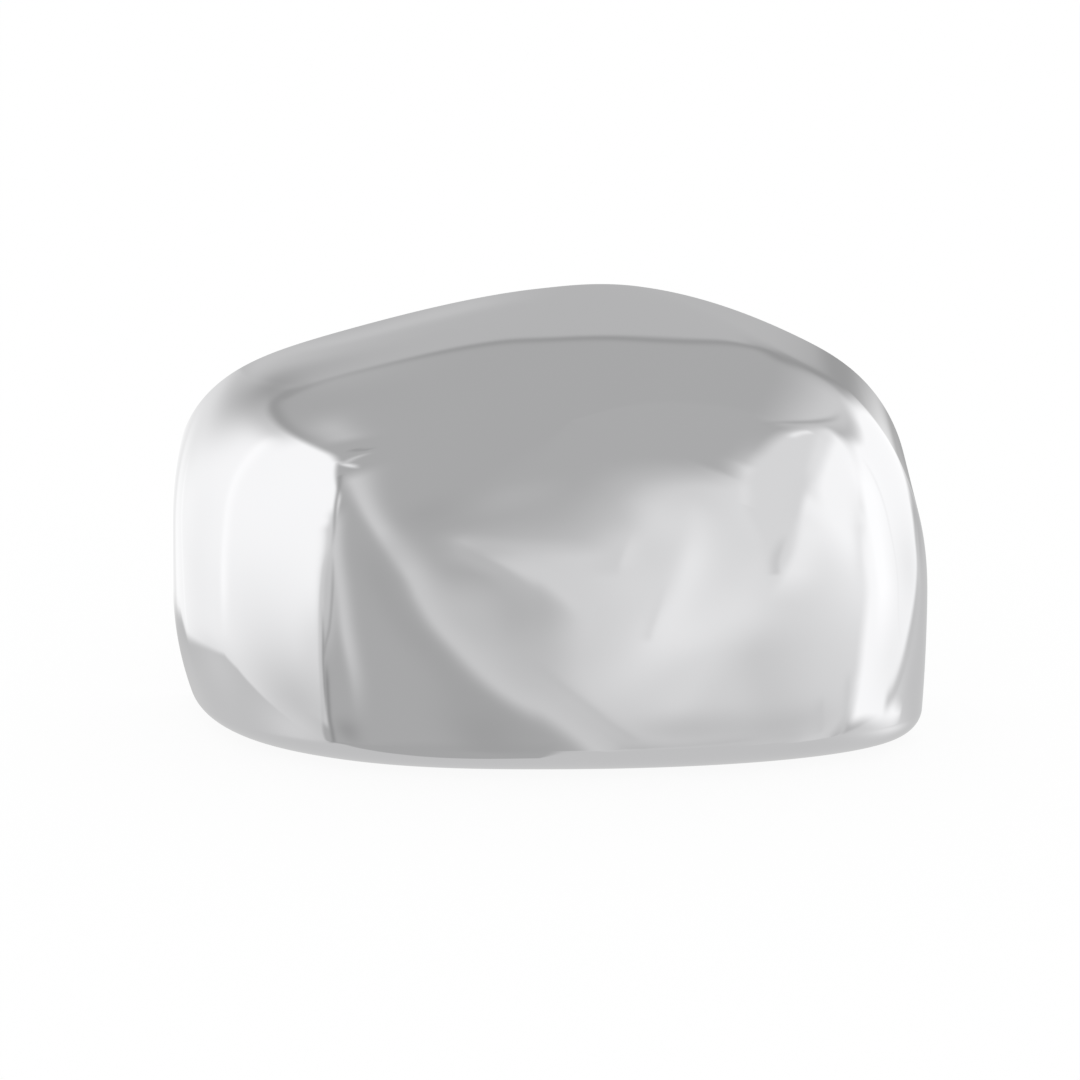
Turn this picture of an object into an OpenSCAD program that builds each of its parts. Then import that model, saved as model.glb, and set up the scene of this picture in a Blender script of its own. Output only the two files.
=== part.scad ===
// Wing mirror cover: one plated plastic shell, open at the back.
// X runs along the cover, the rounded face looks towards -Y and the open rim
// lies in one plane at +Y. The cover stands on its flat underside at Z = 0.

/* [Overall size] */
// Width from end to end
cover_w = 250; // [200:1:300]
// Height from the underside to the peak of the roof line
cover_h = 143; // [120:1:170]
// Depth from the rim plane to the nose of the face
cover_d = 104; // [85:1:125]

/* [Plan curve] */
// Place of the nose along X, from the middle
nose_x = -1; // [-20:0.5:20]
// Depth over which the face sweeps back to the left end
left_sweep = 104; // [60:1:125]
// Depth over which the face turns back to the right end
right_sweep = 48; // [30:1:80]
// Fullness of the left sweep, where 2 is an ellipse
left_full = 2.5; // [2:0.05:3]
// Fullness of the right turn, where 2 is an ellipse
right_full = 2.1; // [2:0.05:3]

/* [Face crown] */
// Height of the level at which the face stands furthest forward
crown_z = 43; // [30:1:60]
// Radius of the face's crown above that level
crown_r_up = 77; // [60:1:200]
// Radius of the face's crown below that level
crown_r_down = 84; // [60:1:200]

/* [Roof] */
// Place of the roof's peak along X, from the middle
peak_x = 15.5; // [-20:0.5:40]
// Radius of the roof line at its peak, for a fall of one in one
roof_r = 128; // [80:1:250]
// Slope that the roof line tends to on its way to the left end
roof_fall_left = 0.31; // [0.2:0.01:0.5]
// Slope that the roof line tends to on its way to the right end
roof_fall_right = 1.08; // [0.6:0.01:1.2]
// Draft of the roof towards the face, in degrees
roof_draft = 9.5; // [4:0.5:14]

/* [Rounding] */
// Rounding between roof and face at the left end
roof_round_left = 43; // [30:1:50]
// Rounding between roof and face at the right end
roof_round_right = 37; // [25:1:45]
// Fullness of that rounding, where 2 is circular
roof_round_full = 2.9; // [2:0.1:3.2]
// How far the left end draws in, below the level that stands furthest forward
foot_tuck_left = 6.5; // [0:0.5:10]
// Rounding of the underside's edge at the left end
foot_round_left = 8; // [5:0.5:16]
// Rounding of the underside's edge from the middle to the right end
foot_round_right = 11; // [6:0.5:16]
// Distance from the left end over which that rounding changes
foot_round_run = 60; // [40:1:120]

/* [Shell] */
// Thickness of the moulded wall
wall = 2.5; // [2:0.1:3.5]
// Thickness of the lip that seats against the mirror head
lip_wall = 1.6; // [1.2:0.1:2]
// Depth of the lip in front of the rim plane
lip_depth = 6; // [4:0.5:9]

/* [Snap hooks] */
// Width of a hook
hook_w = 12; // [8:0.5:16]
// Thickness of a hook's tongue
hook_t = 2.2; // [1.6:0.1:3]
// Length of a hook's tongue
hook_len = 20; // [15:0.5:26]
// Free gap between the tongue and the wall, in which it flexes
hook_gap = 5; // [3:0.5:8]
// Height of the barb on the tongue
barb_h = 2; // [1.2:0.1:3]
// Length of the barb's ramp
barb_run = 6; // [4:0.5:8]
// Distance from the rim plane to the tip of a hook
hook_inset = 5; // [3:0.5:10]
// Thickness of a hook's gussets
gusset_t = 1.6; // [1.2:0.1:2.4]
// Length of a hook's gussets
gusset_run = 10; // [6:0.5:14]

/* [Stiffening ribs] */
// Thickness of a rib
rib_t = 1.6; // [1.2:0.1:2.4]
// Height of a rib above the inner wall
rib_h = 4; // [3:0.5:7]
// Distance between the upright ribs
rib_pitch = 48; // [35:1:60]
// Distance from the rim plane to the ends of the upright ribs
rib_inset = 34; // [30:1:45]

/* [Facets] */
// Facets around the rim
around = 112; // [64:4:116]
// Rings of facets from the rim to the nose
rings = 22; // [14:1:23]
// Degrees by which the facets are drawn towards the two ends
end_draw = 10; // [0:1:16]

/* [Hidden] */
rim_y = cover_d / 2;
nose_y = -cover_d / 2;
// Centre from which the skin is sighted, on the level of the lip's inner edge
eye = [nose_x, rim_y - lip_depth, 0.45 * cover_h];
// No point of the skin lies further from the centre than this
far = cover_w;
// Halvings in the search for the skin, fine enough for a tenth of a micron
halvings = 22;
// A point this close to the flat underside is put on it
flat_tol = 0.001;
// Angles around the rim at which the hooks stand, 0 at the right end
hook_angles = [2, 52, 88, 124, 176, 236, 304];
rib_count = 3;

// Joins two surfaces with a rounding of radius r, and f for its fullness
function blend(a, b, r, f) =
    a > -r && b > -r ? pow(pow(a + r, f) + pow(b + r, f), 1 / f) - r : max(a, b);

// Runs smoothly from 0 to 1
function ease(s) = let (c = min(max(s, 0), 1)) c * c * (3 - 2 * c);

function mix(a, b, s) = a + (b - a) * s;

// How far the plan curve has moved back at height z, to crown the face
function crown_back(z) =
    pow(z - crown_z, 2) / (2 * (z > crown_z ? crown_r_up : crown_r_down));

// How far the left end has drawn in at height z
function foot_tuck(z) = foot_tuck_left * pow(min(max(1 - z / crown_z, 0), 1), 2);

// Signed distance from the sweeping face, below zero inside
function face_gap(x, t, z) =
    let (left = x < nose_x,
         a = cover_w / 2 + (left ? nose_x - foot_tuck(z) : -nose_x),
         b = left ? left_sweep : right_sweep,
         n = left ? left_full : right_full,
         u = abs(x - nose_x) / a,
         v = max(b - t + crown_back(z), 0) / b,
         k = pow(pow(u, n) + pow(v, n), 1 / n),
         lean = (z - crown_z) / (z > crown_z ? crown_r_up : crown_r_down),
         s = max(k, 0.01),
         gu = pow(u / s, n - 1) / a,
         gv = pow(v / s, n - 1) / b)
    (k - 1) / max(sqrt(gu * gu + gv * gv * (1 + lean * lean)), 1 / far);

// Signed distance from the roof, below zero inside
function roof_gap(x, t, z) =
    let (fall = x > peak_x ? roof_fall_right : roof_fall_left,
         c = fall * roof_r,
         h = norm([x - peak_x, c]),
         slope = fall * (x - peak_x) / h)
    (z - cover_h + fall * (h - c) + (cover_d - t) * tan(roof_draft))
        / norm([1, slope, tan(roof_draft)]);

// Signed distance from the outer skin, below zero inside
function skin_gap(p) =
    let (t = p.y - nose_y,
         along = p.x / cover_w + 0.5,
         roof_round = mix(roof_round_left, roof_round_right, ease(along)),
         foot_round = mix(foot_round_left, foot_round_right,
                          ease((p.x + cover_w / 2) / foot_round_run)),
         body = blend(face_gap(p.x, t, p.z), roof_gap(p.x, t, p.z),
                      roof_round, roof_round_full))
    blend(body, -p.z, foot_round, 2);

// Distance from point c along d to where the depth under the skin is deep
function reach(c, d, deep, lo = 0, hi = far, n = halvings) =
    let (mid = (lo + hi) / 2)
    n == 0 ? mid
    : skin_gap(c + mid * d) > -deep ? reach(c, d, deep, lo, mid, n - 1)
    : reach(c, d, deep, mid, hi, n - 1);

// Point at that depth, put exactly on the flat floor where it is one
function wall_point(c, d, deep) =
    let (p = c + reach(c, d, deep) * d)
    abs(p.z - deep) < flat_tol ? [p.x, p.y, deep] : p;

// Direction at angle a around the rim and f degrees from straight ahead
function sight(a, f) = [cos(a) * sin(f), -cos(f), sin(a) * sin(f)];

// Angle around the rim of facet i, closer together at the two ends
function turn(i) = let (a = 360 * i / around) a - end_draw * sin(2 * a);

// One ring of points at a depth under the skin, seen from c
function ring(c, f, deep) =
    [for (i = [0 : around - 1]) wall_point(c, sight(turn(i), f), deep)];

// Rings from the nose back to the lip, without the nose itself
function dome(deep) = [for (j = [1 : rings]) ring(eye, 90 * j / rings, deep)];

function flip(list) = [for (i = [len(list) - 1 : -1 : 0]) list[i]];

// Triangles between ring j and the next one, split across the shorter diagonal
function band(p, j) =
    let (a = j * around, b = a + around)
    [for (i = [0 : around - 1])
        let (k = (i + 1) % around)
        each norm(p[a + i] - p[b + k]) < norm(p[a + k] - p[b + i])
            ? [[a + i, b + k, b + i], [a + i, a + k, b + k]]
            : [[a + i, a + k, b + i], [a + k, b + k, b + i]]];

// The wall as one closed skin: the outside from the nose to the rim, across
// the rim, then the lip, its step and the inside back to the nose
module shell() {
    rim_eye = [eye.x, rim_y, eye.z];
    all_rings = concat(dome(0), [ring(rim_eye, 90, 0), ring(rim_eye, 90, lip_wall),
                                 ring(eye, 90, lip_wall)], flip(dome(wall)));
    last = len(all_rings);
    points = concat([for (r = all_rings) each r],
                    [wall_point(eye, sight(0, 0), 0), wall_point(eye, sight(0, 0), wall)]);
    outer_nose = last * around;
    inner_nose = outer_nose + 1;
    inner_ring = (last - 1) * around;
    faces = concat(
        [for (i = [0 : around - 1]) [outer_nose, (i + 1) % around, i]],
        [for (j = [0 : last - 2]) each band(points, j)],
        [for (i = [0 : around - 1])
            [inner_nose, inner_ring + i, inner_ring + (i + 1) % around]]);
    polyhedron(points, faces, convexity = 6);
}

// Side view of a hook's root, tongue and barb. The wall under the root is at
// height 0 and the rim lies to the right.
module hook_side(top, foot) {
    root_t = 1.5 * hook_t;
    polygon([[0, foot], [root_t, foot], [root_t, hook_gap], [hook_len, hook_gap],
             [hook_len, top], [hook_len - barb_run, top + barb_h],
             [hook_len - barb_run, top], [0, top]]);
}

// Stands a side view of thickness t upright, from its own plane at X = 0
module stand(t) {
    rotate([90, 0, 90]) linear_extrude(t) children();
}

// One snap hook and its two gussets, with the wall at height toe under their toes
module hook(toe) {
    top = hook_gap + hook_t;
    foot = -wall / 2;
    translate([-hook_w / 2, 0, 0]) stand(hook_w) hook_side(top, foot);
    for (x = [-hook_w / 2, hook_w / 2 - gusset_t])
        translate([x, 0, 0]) stand(gusset_t)
            polygon([[hook_t, foot], [hook_t, top], [0, top], [-gusset_run, toe + foot]]);
}

// A hook standing on the inner wall at angle a around the rim
module hook_at(a) {
    root = [eye.x, rim_y - hook_inset - hook_len, eye.z];
    p = wall_point(root, sight(a, 90), wall);
    along = wall_point(root, sight(a + 1, 90), wall) - p;
    front = wall_point(root - [0, gusset_run, 0], sight(a, 90), wall) - p;
    inward = [-along.z, 0, along.x] / norm([along.x, along.z]);
    translate(p) rotate([0, -atan2(along.z, along.x), 0]) hook(front * inward);
}

// Outline of an upright rib at x, from inside the wall up to the rib's height
function rib_line(x, deep) =
    let (c = [x, rim_y - rib_inset, eye.z])
    [for (j = [0 : rings])
        let (p = wall_point(c, sight(90, mix(-90, 90, j / rings)), deep))
        [p.y, p.z]];

// An upright rib inside the face
module rib(x) {
    translate([x - rib_t / 2, 0, 0]) stand(rib_t)
        polygon(concat(rib_line(x, wall / 2), flip(rib_line(x, wall + rib_h))));
}

// The whole moulding
module cover() {
    color("silver") union() {
        shell();
        for (a = hook_angles) hook_at(a);
        for (i = [0 : rib_count - 1]) rib(nose_x + (i - (rib_count - 1) / 2) * rib_pitch);
    }
}

cover();
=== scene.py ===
# Wing mirror cover: a plated shell with snap hooks and ribs inside, shown in a light tent
import math

import bpy
import numpy as np
from mathutils import Matrix, Vector


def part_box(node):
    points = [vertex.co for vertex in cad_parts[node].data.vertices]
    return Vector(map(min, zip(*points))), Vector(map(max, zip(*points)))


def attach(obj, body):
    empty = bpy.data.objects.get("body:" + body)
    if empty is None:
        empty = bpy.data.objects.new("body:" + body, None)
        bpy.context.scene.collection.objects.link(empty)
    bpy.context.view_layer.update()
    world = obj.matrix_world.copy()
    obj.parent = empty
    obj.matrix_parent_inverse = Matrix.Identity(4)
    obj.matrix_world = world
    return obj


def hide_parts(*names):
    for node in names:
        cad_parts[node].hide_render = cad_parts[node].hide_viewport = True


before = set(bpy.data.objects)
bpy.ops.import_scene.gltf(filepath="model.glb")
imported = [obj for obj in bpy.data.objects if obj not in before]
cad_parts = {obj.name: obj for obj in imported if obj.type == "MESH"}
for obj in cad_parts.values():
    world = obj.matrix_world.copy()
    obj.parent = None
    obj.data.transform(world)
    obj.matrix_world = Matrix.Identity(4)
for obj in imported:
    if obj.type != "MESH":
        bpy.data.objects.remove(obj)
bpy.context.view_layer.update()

bl_info = {
    "name": "Wing mirror cover",
    "version": (1, 0, 0),
    "blender": (4, 5, 0),
    "location": "3D View > Sidebar > Mirror cover",
    "description": "Models a plated wing mirror cover and the light tent around it",
    "category": "Object",
}

BOX_LOW, BOX_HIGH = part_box("cover")
MM = 0.001
TOLERANCE = 0.01 * MM
EYE_LEVEL = 0.45  # as a share of the height
REFINE = 4  # parts that each edge of the first ball is split into
SHARP = math.radians(30)  # edges that turn more than this stay sharp
TENT_RADIUS = 20
# Places of the hooks: degrees round the rim, from the end at +X over the roof
HOOK_ANGLES = (2, 52, 88, 124, 176, 236, 304)


def length(name, description, default):
    return bpy.props.FloatProperty(
        name=name, description=description, default=default, unit="LENGTH", precision=5
    )


def number(name, description, default):
    return bpy.props.FloatProperty(name=name, description=description, default=default)


def count(name, description, default):
    return bpy.props.IntProperty(name=name, description=description, default=default)


def tint(name, description, default):
    return bpy.props.FloatVectorProperty(
        name=name, description=description, default=default, subtype="COLOR"
    )


class CoverSkin(bpy.types.PropertyGroup):
    """The curves that the outer skin of the cover follows"""

    width: length("Width", "From end to end", BOX_HIGH.x - BOX_LOW.x)
    depth: length("Depth", "From the rim plane to the nose", BOX_HIGH.y - BOX_LOW.y)
    height: length("Height", "From the underside to the peak of the roof", 143 * MM)
    nose_x: length("Nose place", "Place of the nose along X", -1 * MM)
    left_sweep: length("Left sweep", "Depth of the sweep to the left end", 104 * MM)
    right_sweep: length("Right sweep", "Depth of the turn to the right end", 48 * MM)
    left_full: number("Left fullness", "Fullness of the left sweep", 2.5)
    right_full: number("Right fullness", "Fullness of the right turn", 2.1)
    crown_z: length("Crown height", "Level that stands furthest forward", 43 * MM)
    crown_up: length("Crown above", "Radius of the crown above that level", 77 * MM)
    crown_down: length("Crown below", "Radius of the crown below that level", 84 * MM)
    peak_x: length("Peak place", "Place of the roof's peak along X", 15.5 * MM)
    roof_r: length("Roof radius", "Radius of the roof line at its peak", 128 * MM)
    fall_left: number("Left fall", "Slope of the roof line to the left", 0.31)
    fall_right: number("Right fall", "Slope of the roof line to the right", 1.08)
    draft: number("Roof draft", "Draft of the roof towards the face, in degrees", 9.5)
    roof_round_left: length("Left roof edge", "Rounding of the roof, left", 43 * MM)
    roof_round_right: length("Right roof edge", "Rounding of the roof, right", 37 * MM)
    roof_round_full: number("Roof edge fullness", "Fullness of that rounding", 2.9)
    foot_tuck_left: length("Left foot tuck", "How far the left end draws in at its foot", 6.5 * MM)
    foot_round_left: length("Left foot edge", "Rounding of the foot, left", 8 * MM)
    foot_round_right: length("Right foot edge", "Rounding of the foot, right", 11 * MM)
    foot_round_run: length("Foot edge run", "Length of that rounding's change", 60 * MM)


class CoverMould(bpy.types.PropertyGroup):
    """Wall, lip, hooks and ribs"""

    wall: length("Wall", "Thickness of the moulded wall", 2.5 * MM)
    lip_wall: length("Lip", "Thickness of the lip behind the rim", 1.6 * MM)
    lip_depth: length("Lip depth", "Depth of the lip", 6 * MM)
    edge_round: length("Edge rounding", "Rounding of the rim's edges", 0.3 * MM)
    hook_width: length("Hook width", "Width of a snap hook", 12 * MM)
    hook_thick: length("Hook thickness", "Thickness of a hook's tongue", 2.2 * MM)
    hook_length: length("Hook length", "Length of a hook's tongue", 20 * MM)
    hook_gap: length("Hook gap", "Gap between the tongue and the wall", 5 * MM)
    hook_inset: length("Hook inset", "From the rim plane to the tip", 5 * MM)
    hook_round: length("Hook edge rounding", "Rounding of a hook's edges", 0.25 * MM)
    barb_height: length("Barb height", "Height of the barb", 2 * MM)
    barb_run: length("Barb ramp", "Length of the barb's ramp", 6 * MM)
    gusset_thick: length("Gusset thickness", "Thickness of a gusset", 1.6 * MM)
    gusset_run: length("Gusset length", "Length of a gusset", 10 * MM)
    rib_thick: length("Rib thickness", "Thickness of a rib", 1.6 * MM)
    rib_height: length("Rib height", "Height of a rib above the wall", 4 * MM)
    rib_pitch: length("Rib pitch", "Distance between ribs", 48 * MM)
    rib_inset: length("Rib inset", "From the rim plane to a rib's ends", 34 * MM)
    rib_round: length("Rib edge rounding", "Rounding of a rib's edges", 0.3 * MM)
    rib_count: count("Ribs", "Number of ribs", 3)
    rib_parts: count("Facets along a rib", "Facets along a rib", 96)
    around: count("Facets around", "Facets around the rim", 400)
    rings: count("Rings", "Rings of facets from the nose to the rim", 112)
    turn_share: number("Turn share", "Share of the facets that goes where the skin turns", 0.5)


class CoverFinish(bpy.types.PropertyGroup):
    """Colours of the plating and of the studio"""

    bright: tint("Bright plating", "Colour of the mirror plating", (0.8, 0.8, 0.81))
    dull: tint("Dull plating", "Colour of the plating on hooks and ribs", (0.6, 0.6, 0.61))
    floor: tint("Floor", "Colour of the floor", (1.0, 1.0, 1.0))


def settings():
    """The settings of the skin and of the mould."""
    scene = bpy.context.scene
    return scene.cover_skin, scene.cover_mould


# The skin as distances from its surfaces


def blend(a, b, r, fullness):
    """The greater of two distances, with the edge between them rounded."""
    u, v = np.maximum(a + r, 0), np.maximum(b + r, 0)
    rounded = (u**fullness + v**fullness) ** (1 / fullness) - r
    return np.where((u > 0) & (v > 0), rounded, np.maximum(a, b))


def ease(t):
    """A smooth step from 0 to 1."""
    t = np.clip(t, 0, 1)
    return t * t * (3 - 2 * t)


def between(start, end, share):
    """The value a share of the way from start to end."""
    return start + (end - start) * share


def face_gap(x, behind, z, s):
    """Distance from the face and its two ends. Behind is measured from the nose."""
    left = x < s.nose_x
    tuck = s.foot_tuck_left * np.clip(1 - z / s.crown_z, 0, 1) ** 2
    reach = s.width / 2 + np.where(left, s.nose_x - tuck, -s.nose_x)
    sweep = np.where(left, s.left_sweep, s.right_sweep)
    full = np.where(left, s.left_full, s.right_full)
    crown_r = np.where(z > s.crown_z, s.crown_up, s.crown_down)
    lean = (z - s.crown_z) / crown_r
    back = lean * (z - s.crown_z) / 2
    u = np.abs(x - s.nose_x) / reach
    v = np.maximum(sweep - behind + back, 0) / sweep
    size = (u**full + v**full) ** (1 / full)
    share = np.maximum(size, 0.01)
    slope_u = (u / share) ** (full - 1) / reach
    slope_v = (v / share) ** (full - 1) / sweep
    slope = np.sqrt(slope_u**2 + slope_v**2 * (1 + lean**2))
    return (size - 1) / np.maximum(slope, 1 / s.width)


def roof_gap(x, behind, z, s):
    """Distance from the roof, whose line rounds over its peak and falls away to both sides."""
    fall = np.where(x > s.peak_x, s.fall_right, s.fall_left)
    bend = fall * s.roof_r
    run = np.hypot(x - s.peak_x, bend)
    slope = fall * (x - s.peak_x) / run
    draft = math.tan(math.radians(s.draft))
    rise = z - s.height + fall * (run - bend) + (s.depth - behind) * draft
    return rise / np.sqrt(1 + slope**2 + draft**2)


def skin_gap(p, s):
    """Distance from the skin, below zero inside."""
    x, z = p[:, 0], p[:, 2]
    behind = p[:, 1] + s.depth / 2
    roof_round = between(s.roof_round_left, s.roof_round_right, ease(x / s.width + 0.5))
    foot_share = ease((x + s.width / 2) / s.foot_round_run)
    foot_round = between(s.foot_round_left, s.foot_round_right, foot_share)
    face, roof = face_gap(x, behind, z, s), roof_gap(x, behind, z, s)
    body = blend(face, roof, roof_round, s.roof_round_full)
    return blend(body, -z, foot_round, 2)


def skin_slope(p, s, step=0.02 * MM):
    """Unit vectors square to the skin, pointing out."""
    n = np.empty_like(p)
    for k in range(3):
        move = np.zeros(3)
        move[k] = step
        n[:, k] = skin_gap(p + move, s) - skin_gap(p - move, s)
    return n / np.linalg.norm(n, axis=1, keepdims=True)


def wall_points(centre, rays, deep, s, halvings=34):
    """Where rays from a centre meet the surface at a depth under the skin."""
    low, high = np.zeros(len(rays)), np.full(len(rays), s.width)
    for _ in range(halvings):
        mid = (low + high) / 2
        out = skin_gap(centre + mid[:, None] * rays, s) > -deep
        high, low = np.where(out, mid, high), np.where(out, low, mid)
    return centre + ((low + high) / 2)[:, None] * rays


def eye(s, ahead=0.0):
    """The point from which the skin is sighted, a distance ahead of the rim plane."""
    return np.array((s.nose_x, s.depth / 2 - ahead, EYE_LEVEL * s.height))


# Mesh helpers


def deselect():
    if bpy.context.object and bpy.context.object.mode != "OBJECT":
        bpy.ops.object.mode_set(mode="OBJECT")
    bpy.ops.object.select_all(action="DESELECT")


def only(piece):
    """Makes a piece the only one selected, and the active one."""
    deselect()
    piece.select_set(True)
    bpy.context.view_layer.objects.active = piece


def added(name):
    """Names the primitive just added and bakes its place into its mesh."""
    piece = bpy.context.object
    piece.name = piece.data.name = name
    bpy.ops.object.transform_apply(location=True, rotation=True, scale=True)
    return piece


def get_points(mesh):
    co = np.empty(len(mesh.vertices) * 3)
    mesh.vertices.foreach_get("co", co)
    return co.reshape(-1, 3)


def set_points(mesh, co):
    mesh.vertices.foreach_set("co", np.asarray(co, float).ravel())
    mesh.update()


def pick_faces(piece, wanted):
    """Selects the faces whose centre and normal pass the test, ready for edit mode."""
    only(piece)
    bpy.ops.object.mode_set(mode="EDIT")
    bpy.ops.mesh.select_mode(type="FACE")
    bpy.ops.mesh.select_all(action="DESELECT")
    bpy.ops.object.mode_set(mode="OBJECT")
    for face in piece.data.polygons:
        face.select = bool(wanted(face.center, face.normal))


def edit(piece):
    only(piece)
    bpy.ops.object.mode_set(mode="EDIT")


def leave():
    bpy.ops.object.mode_set(mode="OBJECT")


def cut_plane(piece, point, normal):
    """Adds a loop of edges all round a piece, in one plane."""
    edit(piece)
    bpy.ops.mesh.select_all(action="SELECT")
    bpy.ops.mesh.bisect(plane_co=point, plane_no=normal)
    leave()


def extrude(piece, move):
    """Draws the picked faces out."""
    edit(piece)
    bpy.ops.mesh.extrude_region_move(TRANSFORM_OT_translate={"value": move})
    leave()


def soften(piece, width):
    """Rounds the sharp edges of a piece."""
    finish_modifier(piece, "BEVEL", width=width, segments=2, limit_method="ANGLE")


def finish_modifier(piece, kind, **values):
    """Adds a modifier and applies it."""
    only(piece)
    modifier = piece.modifiers.new(kind.lower(), kind)
    for key, value in values.items():
        setattr(modifier, key, value)
    bpy.ops.object.modifier_apply(modifier=modifier.name)


def finish_piece(piece, material):
    """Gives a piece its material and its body."""
    piece.data.materials.append(material)
    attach(piece, "root")
    piece.select_set(False)


# Materials


def new_material(name):
    """A material without nodes yet, and its node tree."""
    material = bpy.data.materials.new(name)
    material.use_nodes = True
    tree = material.node_tree
    tree.nodes.clear()
    return material, tree


def node(tree, kind, **values):
    """Adds a shader node and sets its properties and inputs by name."""
    made = tree.nodes.new(kind)
    for key, value in values.items():
        if hasattr(made, key):
            setattr(made, key, value)
        else:
            made.inputs[key.replace("_", " ")].default_value = value
    return made


def noise(tree, scale, detail=2.0):
    """Noise in object coordinates, with its size given per metre."""
    place = node(tree, "ShaderNodeTexCoord")
    grain = node(tree, "ShaderNodeTexNoise", Scale=scale, Detail=detail)
    tree.links.new(place.outputs["Object"], grain.inputs["Vector"])
    return grain.outputs["Fac"]


def spread(tree, source, low, high):
    """Maps noise to a range of values."""
    scale = node(tree, "ShaderNodeMapRange", From_Min=0.3, From_Max=0.7, To_Min=low, To_Max=high)
    tree.links.new(source, scale.inputs["Value"])
    return scale.outputs["Result"]


def plating(name, colour, shade, patch_scale, rough, grain_scale, grain_height):
    """Plated metal with slightly uneven colour and polish, and a fine surface wave."""
    material, tree = new_material(name)
    metal = node(tree, "ShaderNodeBsdfPrincipled", Metallic=1.0)
    patches = noise(tree, patch_scale)
    darker = tuple(c * shade for c in colour)
    mix = node(tree, "ShaderNodeMix", data_type="RGBA")
    mix.inputs["A"].default_value = (*darker, 1)
    mix.inputs["B"].default_value = (*colour, 1)
    tree.links.new(spread(tree, patches, 0, 1), mix.inputs["Factor"])
    tree.links.new(mix.outputs["Result"], metal.inputs["Base Color"])
    tree.links.new(spread(tree, patches, *rough), metal.inputs["Roughness"])
    bump = node(tree, "ShaderNodeBump", Strength=1.0, Distance=grain_height)
    tree.links.new(noise(tree, grain_scale), bump.inputs["Height"])
    tree.links.new(bump.outputs["Normal"], metal.inputs["Normal"])
    end = node(tree, "ShaderNodeOutputMaterial")
    tree.links.new(metal.outputs["BSDF"], end.inputs["Surface"])
    return material


def bright_plating():
    """The mirror plating of the shell."""
    colour = tuple(bpy.context.scene.cover_finish.bright)
    return bpy.data.materials.get("bright_plating") or plating(
        "bright_plating",
        colour,
        shade=0.985,
        patch_scale=14.0,
        rough=(0.018, 0.03),
        grain_scale=260.0,
        grain_height=4e-7,
    )


def dull_plating():
    """The duller plating of hooks and ribs."""
    colour = tuple(bpy.context.scene.cover_finish.dull)
    return bpy.data.materials.get("dull_plating") or plating(
        "dull_plating",
        colour,
        shade=0.86,
        patch_scale=35.0,
        rough=(0.24, 0.38),
        grain_scale=900.0,
        grain_height=2e-5,
    )


# The moulded shell


class MIRROR_OT_shell(bpy.types.Operator):
    """Model the plated shell: skin, wall, lip and rim"""

    bl_idname = "mirror.shell"
    bl_label = "Plated shell"

    def execute(self, context):
        s, m = settings()
        deselect()
        bpy.ops.mesh.primitive_uv_sphere_add(
            segments=m.around // REFINE,
            ring_count=2 * m.rings // REFINE,
            rotation=(math.pi / 2, 0, 0),
        )
        shell = added("cover_shell")
        open_back(shell)
        edit(shell)
        bpy.ops.mesh.select_all(action="SELECT")
        bpy.ops.mesh.subdivide(number_cuts=REFINE - 1)
        leave()
        draw_onto_skin(shell, s, m)
        lip_y = s.depth / 2 - m.lip_depth
        step_run = 0.25 * (m.wall - m.lip_wall)
        cut_plane(shell, (0, lip_y, 0), (0, 1, 0))
        cut_plane(shell, (0, lip_y - step_run, 0), (0, 1, 0))
        settle_on_skin(shell, s)
        thicken(shell, s, m)
        bpy.ops.object.shade_smooth()
        smooth_by_skin(shell, s)
        finish_piece(shell, bright_plating())
        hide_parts("cover")
        return {"FINISHED"}


def open_back(shell):
    """Takes the back half of the ball away, to leave the open rim."""
    pick_faces(shell, lambda centre, normal: centre.y > 0)
    edit(shell)
    bpy.ops.mesh.delete(type="FACE")
    leave()


def sight(around, ahead):
    """Directions at an angle around the rim and an angle from straight ahead."""
    side = np.sin(ahead)
    return np.stack([np.cos(around) * side, -np.cos(ahead), np.sin(around) * side], -1)


def shared_out(places, around, ahead, s, m, parts):
    """Places along lines on the skin, closer together where the skin turns."""
    rays = sight(around, ahead)
    points = wall_points(eye(s), rays.reshape(-1, 3), 0, s, halvings=24)
    slopes = skin_slope(points, s).reshape(rays.shape)
    points = points.reshape(rays.shape)
    run = np.linalg.norm(np.diff(points, axis=-2), axis=-1)
    turn = np.linalg.norm(np.diff(slopes, axis=-2), axis=-1)
    share = (1 - m.turn_share) * run / run.sum(-1, keepdims=True)
    share += m.turn_share * turn / turn.sum(-1, keepdims=True)
    done = np.cumsum(np.pad(share, [(0, 0)] * (share.ndim - 1) + [(1, 0)]), -1)
    wanted = np.linspace(0, 1, parts + 1)
    return np.array([np.interp(wanted, line, places) for line in np.atleast_2d(done)])


def draw_onto_skin(shell, s, m):
    """Moves each point of the ball along its ray onto the skin."""
    co = get_points(shell.data)
    around = np.arctan2(co[:, 2], co[:, 0])
    ahead = np.arccos(np.clip(-co[:, 1] / np.linalg.norm(co, axis=1), -1, 1))
    circle = np.linspace(-math.pi, math.pi, 4 * m.around + 1)
    columns = shared_out(circle, circle, np.full_like(circle, math.pi / 2), s, m, m.around)[0]
    quarter = np.linspace(0, math.pi / 2, 4 * m.rings + 1)
    lines = np.meshgrid(columns, quarter, indexing="ij")
    table = shared_out(quarter, *lines, s, m, m.rings)
    column = np.clip((around / math.pi + 1) / 2, 0, 1) * m.around
    ring = np.clip(ahead / (math.pi / 2), 0, 1) * m.rings
    i = np.minimum(column.astype(int), m.around - 1)
    j = np.minimum(ring.astype(int), m.rings - 1)
    u, v = column - i, ring - j
    ahead = (table[i, j] * (1 - u) + table[i + 1, j] * u) * (1 - v)
    ahead += (table[i, j + 1] * (1 - u) + table[i + 1, j + 1] * u) * v
    around = columns[i] * (1 - u) + columns[i + 1] * u
    set_points(shell.data, wall_points(eye(s), sight(around, ahead), 0, s))


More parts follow.
